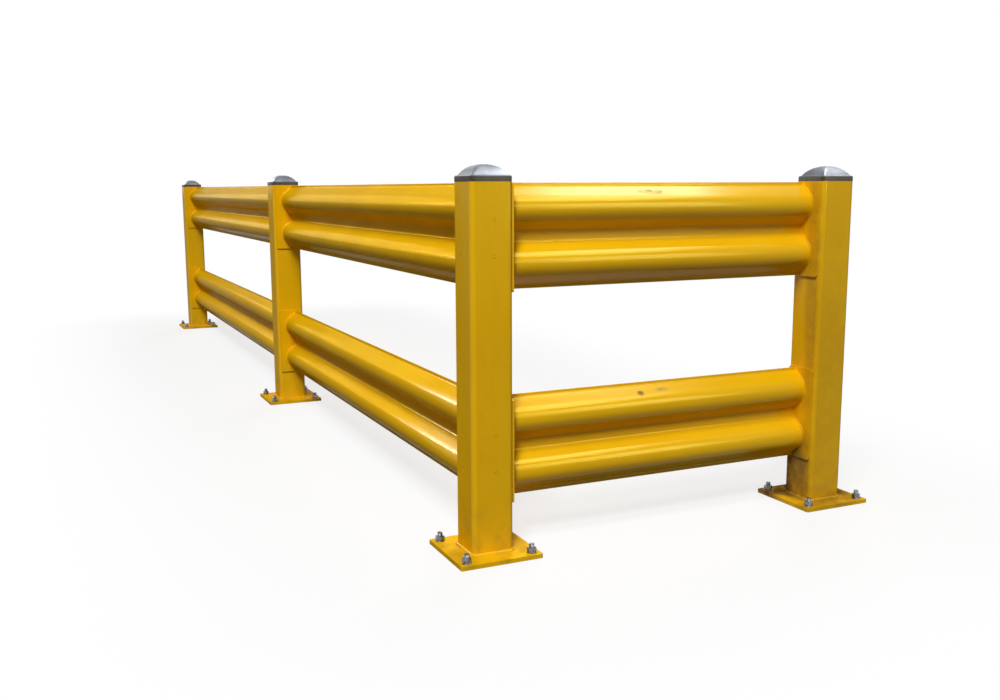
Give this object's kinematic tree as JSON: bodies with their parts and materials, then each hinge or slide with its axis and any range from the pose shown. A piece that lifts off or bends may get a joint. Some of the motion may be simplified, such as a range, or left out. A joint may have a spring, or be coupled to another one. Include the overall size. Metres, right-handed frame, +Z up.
{
  "type": "industrial guard rail",
  "caption": "L-shaped floor-mounted guard rail: square posts on anchored base plates, upper and lower ribbed steel rails between them, and domed metal caps on the posts.",
  "frame": {"origin": "on the floor under the middle of the corner post", "axes": "+X along the short leg to the right end post, +Y along the long leg to the line post and the left end post, +Z up; the ribs face -Y on the short leg and -X on the long leg"},
  "size_m": [1.4732, 5.7404, 1.1168],
  "materials": {
    "yellow_coating": "gloss powder coat",
    "cap_collar": "satin black",
    "cap_dome": "bright pressed steel",
    "zinc_hardware": "zinc plated"
  },
  "bodies": {
    "root": {"anchor_nuts": "zinc_hardware", "anchor_studs": "zinc_hardware", "anchor_washers": "zinc_hardware", "corner_base_plate": "yellow_coating", "corner_base_weld": "yellow_coating", "corner_cap_collar": "cap_collar", "corner_cap_dome": "cap_dome", "corner_nut_plates": "zinc_hardware", "corner_post": "yellow_coating", "far_bay_lower_far_end_plate": "yellow_coating", "far_bay_lower_near_end_plate": "yellow_coating", "far_bay_lower_rail": "yellow_coating", "far_bay_upper_far_end_plate": "yellow_coating", "far_bay_upper_near_end_plate": "yellow_coating", "far_bay_upper_rail": "yellow_coating", "left_end_base_plate": "yellow_coating", "left_end_base_weld": "yellow_coating", "left_end_cap_collar": "cap_collar", "left_end_cap_dome": "cap_dome", "left_end_nut_plates": "zinc_hardware", "left_end_post": "yellow_coating", "line_base_plate": "yellow_coating", "line_base_weld": "yellow_coating", "line_cap_collar": "cap_collar", "line_cap_dome": "cap_dome", "line_nut_plates": "zinc_hardware", "line_post": "yellow_coating", "middle_bay_lower_far_end_plate": "yellow_coating", "middle_bay_lower_near_end_plate": "yellow_coating", "middle_bay_lower_rail": "yellow_coating", "middle_bay_upper_far_end_plate": "yellow_coating", "middle_bay_upper_near_end_plate": "yellow_coating", "middle_bay_upper_rail": "yellow_coating", "rail_bolt_washers": "zinc_hardware", "rail_bolts": "zinc_hardware", "right_end_base_plate": "yellow_coating", "right_end_base_weld": "yellow_coating", "right_end_cap_collar": "cap_collar", "right_end_cap_dome": "cap_dome", "right_end_nut_plates": "zinc_hardware", "right_end_post": "yellow_coating", "short_bay_lower_far_end_plate": "yellow_coating", "short_bay_lower_near_end_plate": "yellow_coating", "short_bay_lower_rail": "yellow_coating", "short_bay_upper_far_end_plate": "yellow_coating", "short_bay_upper_near_end_plate": "yellow_coating", "short_bay_upper_rail": "yellow_coating"}
  },
  "joints": []
}
